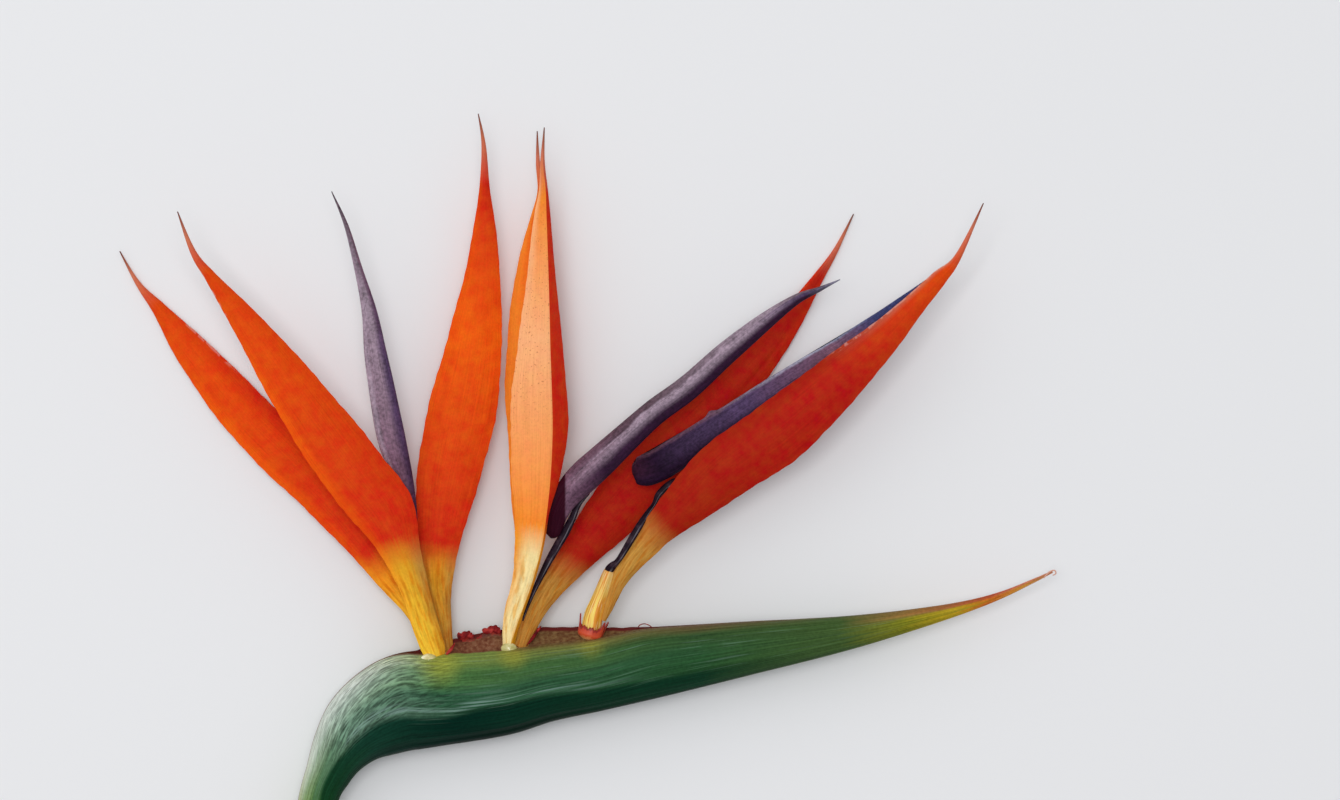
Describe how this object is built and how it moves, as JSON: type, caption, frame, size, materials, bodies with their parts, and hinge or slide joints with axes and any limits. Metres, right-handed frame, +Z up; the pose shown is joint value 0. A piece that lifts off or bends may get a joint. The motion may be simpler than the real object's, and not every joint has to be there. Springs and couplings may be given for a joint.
{
  "type": "bird of paradise flower",
  "caption": "Cut bird of paradise flower lying on its side: a round green stem, a long beaked spathe, pointed orange sepals and blue-violet arrows.",
  "frame": {"origin": "on the table under the middle of the flower's box", "axes": "+Y along the stem towards the upright sepals, +X along the beak of the spathe, +Z up from the table that the flower lies on"},
  "size_m": [0.2108, 0.3314, 0.0218],
  "materials": {
    "stem_green": "smooth, waxy plant stem",
    "spathe_green": "satin, finely ribbed bract with a waxy bloom",
    "base_yellow": "smooth, fleshy, cream to yellow",
    "sepal_red": "matt, soft petal, red to orange",
    "sepal_orange": "matt, soft petal, orange to peach",
    "arrow_violet": "matt, dark violet with a pale bloom",
    "bract_brown": "dry, papery, red-brown"
  },
  "bodies": {
    "root": {"stem": "stem_green", "spathe": "spathe_green", "floret_base_left": "base_yellow", "floret_base_middle": "base_yellow", "floret_base_right": "base_yellow", "sepal_left_low": "sepal_red", "sepal_left_near": "sepal_red", "sepal_left_tall": "sepal_red", "sepal_middle_near": "sepal_orange", "sepal_middle_far": "sepal_orange", "sepal_middle_low": "sepal_red", "sepal_right_low": "sepal_red", "arrow_left": "arrow_violet", "arrow_middle": "arrow_violet", "arrow_right": "arrow_violet", "bracteole_left": "bract_brown", "bracteole_middle": "bract_brown", "bracteole_right": "bract_brown"}
  },
  "joints": []
}
